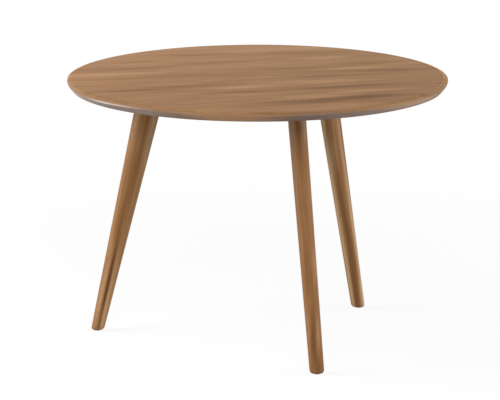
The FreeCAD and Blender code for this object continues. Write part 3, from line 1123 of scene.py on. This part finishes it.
for index, segment in enumerate(segments):
    middle_angle = joint_angles[index] + segment_angle / 2
    outward = heading(middle_angle)
    chord = Vector((-outward.y, outward.x, 0))
    finish = wood_finish(
        f"lipping_wood_{index + 1}", (outward * top_radius + top_middle, chord, UP),
        LIPPING_COLOURS, LIPPING_FIGURE, LIPPING_ROUGHNESS, LIPPING_GLOSS,
        marks=sapwood_and_nose_light if index + 1 == PALE_SEGMENT else painted_nose_light,
        seams=lambda tree: segment_seams(tree, middle_angle),
        sheen=bevel_sheen, worn=painted_highlights_and_shade,
    )
    paint_with(finish, segment)
print(len(segments), "lipping finishes")

# %% [markdown]
# ## The legs' wood
# The legs are solid, sawn so that the grain runs from root to foot. Their streaks are narrower and much
# longer than the veneer's. The noise is solid, as wood is, so the figure runs on over the eased edge of
# the foot. Each leg is its own piece: the noise is read from its own root, and the strongest streaks
# are laid one by one on the sides that show. They are partly grain and partly painted light and shade:
# bands for the light of the side lamps, and pale spots near the roots that lift the shadow under the top.

# %% The legs' main streaks, partly painted light and shade
# Middle and reach, each along the leg from its root, across it and outwards, and strength: below zero is dark
# Partly grain and partly painted light: pale spots near a root lift the shadow under the top
LEG_STREAKS_AND_LIGHT = {
    "front": (
        ((0.220, 0.009, 0.010), (0.200, 0.005, 0.010), 0.12),
        ((0.170, -0.002, 0.012), (0.110, 0.012, 0.020), -0.06),
        ((0.365, -0.0044, 0.012), (0.050, 0.0025, 0.010), -0.20),
        ((0.371, 0.0025, 0.012), (0.035, 0.003, 0.010), 0.28),
        ((0.432, 0.000, 0.012), (0.035, 0.020, 0.020), -0.12),
        ((0.295, -0.0110, 0.010), (0.055, 0.004, 0.010), -0.17),
        ((0.020, 0.0025, 0.012), (0.040, 0.008, 0.020), 0.50),
        ((0.395, -0.0075, 0.012), (0.030, 0.003, 0.010), -0.24),
        ((0.402, 0.0000, 0.012), (0.030, 0.003, 0.010), 0.15),
        ((0.262, 0.0025, 0.012), (0.035, 0.003, 0.010), 0.17),
        ((0.322, -0.0062, 0.012), (0.028, 0.0035, 0.010), 0.15),
        ((0.350, 0.0045, 0.012), (0.035, 0.003, 0.010), -0.12),
        ((0.385, 0.0085, 0.006), (0.035, 0.0025, 0.010), 0.14),
        ((0.195, 0.0075, 0.008), (0.045, 0.004, 0.010), -0.15),
    ),
    "right": (
        ((0.240, 0.001, -0.0175), (0.240, 0.0045, 0.012), 0.40),
        ((0.290, -0.0125, 0.0035), (0.200, 0.005, 0.0055), 0.32),
        ((0.300, -0.0105, -0.0095), (0.190, 0.004, 0.006), -0.22),
        ((0.040, 0.001, -0.022), (0.060, 0.006, 0.012), 0.30),
        ((0.425, -0.0125, 0.001), (0.035, 0.004, 0.005), 0.32),
        ((0.145, -0.006, -0.014), (0.035, 0.008, 0.008), 0.20),
        ((0.220, -0.0110, -0.0075), (0.075, 0.005, 0.004), 0.15),
        ((0.255, -0.0120, 0.0100), (0.060, 0.010, 0.004), -0.12),
        ((0.125, -0.010, 0.012), (0.050, 0.010, 0.006), -0.20),
        ((0.420, 0.000, -0.0135), (0.045, 0.004, 0.006), 0.18),
    ),
    "left": (
        ((0.365, 0.012, -0.002), (0.070, 0.010, 0.0022), -0.55),
        ((0.370, 0.012, 0.006), (0.080, 0.010, 0.005), 0.30),
        ((0.040, 0.012, 0.014), (0.070, 0.010, 0.005), 0.25),
        ((0.400, 0.012, -0.008), (0.100, 0.010, 0.0045), 0.38),
        ((0.070, 0.012, -0.014), (0.090, 0.010, 0.006), 0.25),
        ((0.262, 0.012, 0.004), (0.050, 0.010, 0.004), -0.10),
        ((0.138, 0.012, 0.006), (0.060, 0.010, 0.005), -0.08),
        ((0.100, 0.012, 0.004), (0.035, 0.010, 0.016), 0.12),
        ((0.245, 0.012, -0.0045), (0.040, 0.010, 0.003), 0.12),
        ((0.287, 0.012, 0.009), (0.030, 0.010, 0.004), 0.12),
        ((0.410, 0.012, -0.005), (0.030, 0.010, 0.003), 0.14),
    ),
}
print({side: len(streaks) for side, streaks in LEG_STREAKS_AND_LIGHT.items()}, "streaks are laid by hand")

# %% Wood for three legs
LEG_COLOURS = (srgb(101, 63, 29), srgb(152, 107, 65), srgb(200, 165, 125))
LEG_FIGURE = (0.24, 0.0075, 0.6)
LEG_ROUGHNESS, LEG_GLOSS = 0.48, 0.18

for side, piece in legs.items():
    outward = heading(leg_angles[side])
    root_place = outward * root_radius + UP * leg_high.z
    axis = outward * foot_radius + UP * leg_low.z - root_place
    finish = wood_finish(
        f"leg_wood_{side}", (root_place, axis, outward), LEG_COLOURS, LEG_FIGURE, LEG_ROUGHNESS, LEG_GLOSS,
        marks=lambda board: sum_of_spots(board, LEG_STREAKS_AND_LIGHT[side]),
    )
    paint_with(finish, piece)
    print("leg", side, "has", len(finish.node_tree.nodes), "nodes")

# %% [markdown]
# ## Underneath: backing veneer and core
# A backing leaf of plainer wood keeps the top from warping. It is only sealed, so it is duller and more
# even than the face. The core between the leaves is fibreboard: pressed wood dust with short pale
# fibres, and no grain.

# %% Backing veneer
BACK_COLOURS = (srgb(112, 80, 54), srgb(140, 106, 76), srgb(164, 128, 94))
BACK_FIGURE = (0.30, 0.030, 0.6)
BACK_ROUGHNESS, BACK_GLOSS = 0.72, 0.15

back_finish = wood_finish(
    "backing_veneer_wood", (UP * underside, veneer_grain, -UP),
    BACK_COLOURS, BACK_FIGURE, BACK_ROUGHNESS, BACK_GLOSS,
)
paint_with(back_finish, nodes["backing_veneer"])
print("backing veneer at", round(underside, PRINT_DIGITS))

# %% Fibreboard
BOARD_DARK, BOARD_PALE = srgb(142, 116, 86), srgb(180, 154, 120)
DUST_SIZE, DUST_SHADE = 0.0012, 0.8
FLECK_LENGTH, FLECK_WIDTH, FLECK_SHADE, FLECK_SHINE = 0.006, 0.0009, 0.7, 0.1
BOARD_ROUGHNESS, BOARD_DEPTH = 0.9, 0.0002

fibreboard, tree = new_finish("fibreboard")
place = object_place(tree)
dust = stretched_noise(place, DUST_SIZE, DUST_SIZE, FINE_DETAIL)
flecks = stretched_noise(place, FLECK_LENGTH, FLECK_WIDTH)
shade = MIDDLE_TONE + dust * DUST_SHADE + flecks * FLECK_SHADE
finish_surface(tree, dust, BOARD_DEPTH, {
    "Base Color": mix_colours(shade, BOARD_DARK, BOARD_PALE),
    "Roughness": BOARD_ROUGHNESS - flecks * FLECK_SHINE,
})
paint_with(fibreboard, nodes["top_core"])
print("core has flecks", FLECK_LENGTH, "m long")

# %% [markdown]
# ## Black plates
# The steel plates are powder coated. Powder melts into a tough skin with a fine pebbled surface, like
# the peel of an orange, and it stays a little thinner and greyer in the hollows. Two sizes of noise
# give the pebbles.

# %% Powder coat
COAT_BLACK, COAT_GREY = srgb(20, 20, 21), srgb(40, 40, 41)
COAT_ROUGHNESS, COAT_DEPTH, COAT_TONE = 0.46, 0.00008, 0.4
PEBBLE_SIZE = 0.0016
GRIT_SIZE, GRIT_HEIGHT, GRIT_SHADE, GRIT_ROUGHNESS = 0.0005, 0.4, 0.5, 0.25

powder_coat, tree = new_finish("black_powder_coat")
place = object_place(tree)
pebbles = stretched_noise(place, PEBBLE_SIZE, PEBBLE_SIZE, SMOOTH_DETAIL)
grit = stretched_noise(place, GRIT_SIZE, GRIT_SIZE, SMOOTH_DETAIL)
hollows = COAT_TONE - pebbles - grit * GRIT_SHADE
finish_surface(tree, pebbles + grit * GRIT_HEIGHT, COAT_DEPTH, {
    "Base Color": mix_colours(hollows, COAT_BLACK, COAT_GREY),
    "Roughness": COAT_ROUGHNESS + grit * GRIT_ROUGHNESS,
})
paint_with(powder_coat, *[nodes[f"leg_plate_{side}"] for side in legs])
print(len(legs), "plates are powder coated")

# %% [markdown]
# ## Zinc and brass
# The screws are zinc plated: a cool grey metal with a cloudy, faintly yellow bloom from the bath. The
# inserts are turned from brass bar, and the tool leaves fine rings round them, so their fine noise
# changes with height and hardly at all along the other two directions.

# %% A bare metal
CLOUD_SIZE, CLOUD_SHADE, CLOUD_ROUGHNESS = 0.003, 1.6, 0.2
MARK_ROUGHNESS = 0.3
METAL_DEPTH = 0.00003


def metal_finish(name, dark, light, fine, roughness):
    """Cloudy bare metal; fine is how far its fine marks reach along X, Y and Z."""
    metal, tree = new_finish(name)
    place = object_place(tree)
    bloom = stretched_noise(place, CLOUD_SIZE, CLOUD_SIZE)
    marks = noise(place, fine)
    finish_surface(tree, marks, METAL_DEPTH, {
        "Base Color": mix_colours(MIDDLE_TONE + bloom * CLOUD_SHADE, dark, light), "Metallic": 1.0,
        "Roughness": roughness + marks * MARK_ROUGHNESS + bloom * CLOUD_ROUGHNESS,
    })
    return metal


print("clouds", CLOUD_SIZE, "m wide")

# %% Plated screws and turned inserts
ZINC_COOL, ZINC_WARM = srgb(178, 181, 186), srgb(190, 186, 170)
ZINC_GRAIN, ZINC_ROUGHNESS = (0.0004, 0.0004, 0.0004), 0.34
BRASS_DARK, BRASS_LIGHT = srgb(168, 130, 66), srgb(214, 178, 106)
BRASS_RINGS, BRASS_ROUGHNESS = (FAR, FAR, 0.00025), 0.30

zinc = metal_finish("zinc_plate", ZINC_COOL, ZINC_WARM, ZINC_GRAIN, ZINC_ROUGHNESS)
brass = metal_finish("turned_brass", BRASS_DARK, BRASS_LIGHT, BRASS_RINGS, BRASS_ROUGHNESS)
for side in legs:
    paint_with(zinc, screw_sets[side], nodes[f"leg_screws_{side}"])
    paint_with(brass, nodes[f"top_inserts_{side}"], nodes[f"leg_inserts_{side}"])
print("zinc on", zinc.users, "pieces, brass on", brass.users)

# %% [markdown]
# ## Nylon glides
# A glide is moulded from dark brown nylon, a shade that hides under a wooden foot. The mould leaves a
# fine sparked skin, and sliding about rubs its lowest face paler and smoother, so height decides how
# worn it is.

# %% Glides
NYLON_BROWN, NYLON_WORN = srgb(54, 42, 33), srgb(92, 80, 70)
NYLON_ROUGHNESS, NYLON_DEPTH = 0.55, 0.00004
SPARK_SIZE, SPARK_SHADE, SPARK_ROUGHNESS = 0.0004, 0.3, 0.3
WORN_HEIGHT, WORN_SHADE, WORN_SHINE = 0.0008, 0.7, 0.15

nylon, tree = new_finish("brown_nylon")
place = object_place(tree)
sparks = stretched_noise(place, SPARK_SIZE, SPARK_SIZE)
worn = 1 - soft_step(height_of(place) + sparks * WORN_HEIGHT, 0.0, WORN_HEIGHT)
finish_surface(tree, sparks, NYLON_DEPTH, {
    "Base Color": mix_colours(worn * WORN_SHADE + sparks * SPARK_SHADE, NYLON_BROWN, NYLON_WORN),
    "Roughness": NYLON_ROUGHNESS + sparks * SPARK_ROUGHNESS - worn * WORN_SHINE,
})
paint_with(nylon, *[nodes[f"foot_glide_{side}"] for side in legs])
print(len(legs), "glides are nylon")
